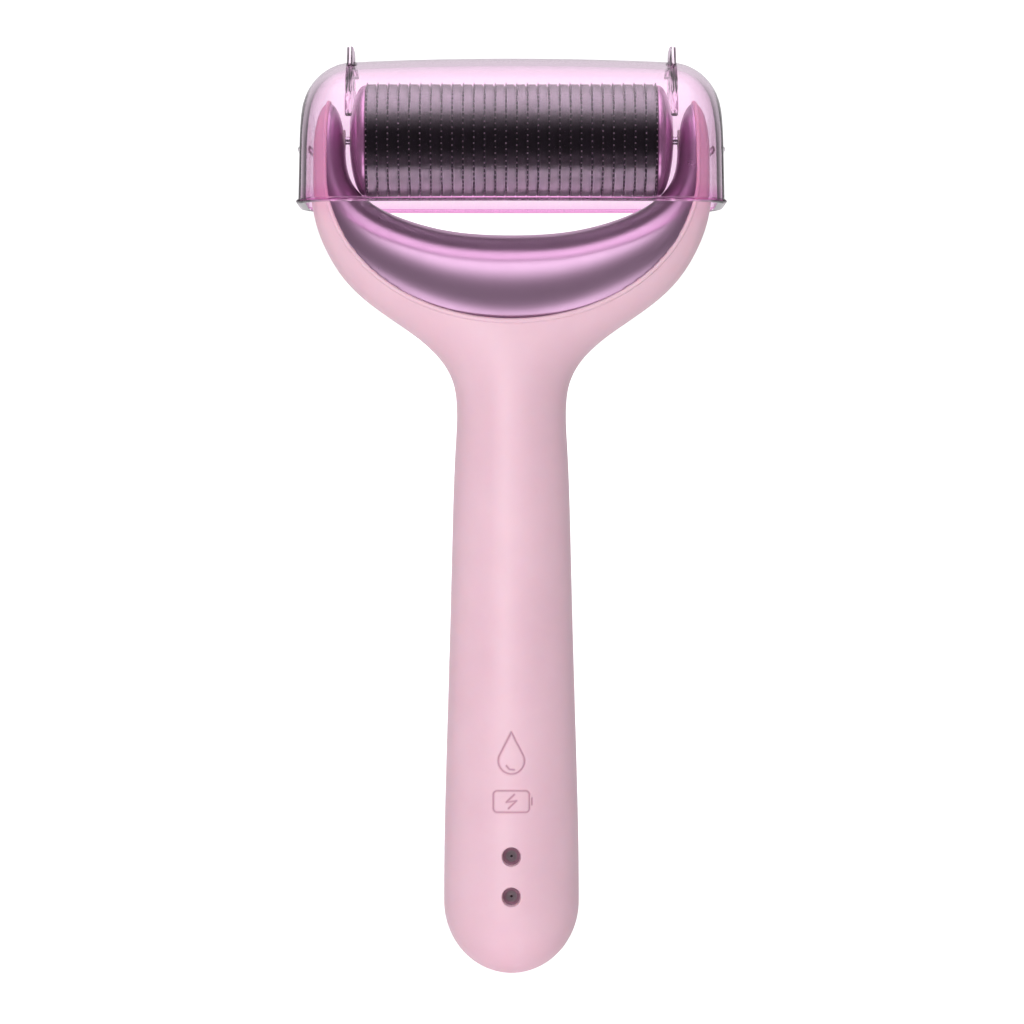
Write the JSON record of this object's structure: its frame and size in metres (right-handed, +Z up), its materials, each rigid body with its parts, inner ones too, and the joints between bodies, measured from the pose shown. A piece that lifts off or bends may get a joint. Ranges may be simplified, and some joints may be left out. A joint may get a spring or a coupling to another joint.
{
  "type": "powered derma roller",
  "caption": "Powered derma roller: soft-skinned handle forking into two plated arms, a drum of fine needle discs between them and a clear slide-off cover with two small ears.",
  "frame": {"origin": "on the handle's long axis where the hand holds it, 60 mm above the handle's rounded end", "axes": "+Z up the handle to the roller, +X along the roller's axle, -Y out of the back, where the charging contacts are, +Y out of the front, where the button is"},
  "size_m": [0.0786, 0.031, 0.1704],
  "materials": {
    "silicone": "soft-touch satin pink silicone",
    "yoke_metal": "satin mauve metallic plating",
    "frame_plastic": "moulded ABS",
    "screw_steel": "zinc-plated screws",
    "bush_plastic": "natural acetal",
    "contact_metal": "nickel-plated contact",
    "carrier_plastic": "moulded nylon",
    "magnet_metal": "nickel-plated magnet",
    "battery_wrap": "shrink-wrapped cell",
    "lead_insulation": "silicone-insulated wire",
    "board_laminate": "green solder mask",
    "switch_body": "black moulding with a steel cover",
    "lamp_body": "surface-mount lamp",
    "window_plastic": "frosted light pipe",
    "motor_steel": "drawn steel can",
    "boot_rubber": "black rubber",
    "shaft_steel": "ground steel",
    "weight_metal": "sintered tungsten",
    "bezel_metal": "bright mauve plating",
    "button_rubber": "soft-touch pink cap",
    "axle_steel": "ground stainless steel",
    "core_plastic": "black moulding",
    "dome_metal": "bright mauve metallic plating",
    "spacer_plastic": "gloss black moulding",
    "cover_clear": "clear lilac polycarbonate",
    "disc_steel": "etched stainless steel needles"
  },
  "bodies": {
    "handle": {"silicone_sleeve": "silicone", "yoke_back": "yoke_metal", "yoke_front": "yoke_metal", "frame_back": "frame_plastic", "frame_front": "frame_plastic", "frame_screws": "screw_steel", "yoke_screws": "screw_steel", "bush_left": "bush_plastic", "bush_right": "bush_plastic", "charge_contact_lower": "contact_metal", "charge_contact_upper": "contact_metal", "contact_carrier": "carrier_plastic", "charging_magnet": "magnet_metal", "battery_cell": "battery_wrap", "battery_leads": "lead_insulation", "circuit_board": "board_laminate", "tact_switch": "switch_body", "status_lamp": "lamp_body", "light_window": "window_plastic", "motor_can": "motor_steel", "motor_boot": "boot_rubber", "button_bezel": "bezel_metal"},
    "roller": {"axle": "axle_steel", "roller_core": "core_plastic", "end_dome_left": "dome_metal", "end_dome_right": "dome_metal", "spacer_rings": "spacer_plastic", "needle_disc_01": "disc_steel", "needle_disc_02": "disc_steel", "needle_disc_03": "disc_steel", "needle_disc_04": "disc_steel", "needle_disc_05": "disc_steel", "needle_disc_06": "disc_steel", "needle_disc_07": "disc_steel", "needle_disc_08": "disc_steel", "needle_disc_09": "disc_steel", "needle_disc_10": "disc_steel", "needle_disc_11": "disc_steel", "needle_disc_12": "disc_steel", "needle_disc_13": "disc_steel", "needle_disc_14": "disc_steel", "needle_disc_15": "disc_steel", "needle_disc_16": "disc_steel", "needle_disc_17": "disc_steel", "needle_disc_18": "disc_steel", "needle_disc_19": "disc_steel", "needle_disc_20": "disc_steel", "needle_disc_21": "disc_steel", "needle_disc_22": "disc_steel", "needle_disc_23": "disc_steel", "needle_disc_24": "disc_steel", "needle_disc_25": "disc_steel", "needle_disc_26": "disc_steel", "needle_disc_27": "disc_steel", "needle_disc_28": "disc_steel"},
    "cover": {"cover_shell": "cover_clear"},
    "button": {"power_button": "button_rubber"},
    "motor_rotor": {"motor_shaft": "shaft_steel", "eccentric_weight": "weight_metal"}
  },
  "joints": [
    {"name": "roller_spin", "type": "hinge", "parent": "handle", "child": "roller", "pos_m": [0, 0, 0.0934], "axis": [1, 0, 0], "continuous": true},
    {"name": "cover_slide", "type": "slide", "parent": "handle", "child": "cover", "axis": [0, 0, 1], "range_m": [0, 0.045]},
    {"name": "power_button_press", "type": "slide", "parent": "handle", "child": "button", "axis": [0, -1, 0], "range_m": [0, 0.0005], "stiffness_N_per_m": 800},
    {"name": "motor_spin", "type": "hinge", "parent": "handle", "child": "motor_rotor", "pos_m": [0, -0.0022, 0.0325], "axis": [0, 0, 1], "continuous": true}
  ]
}
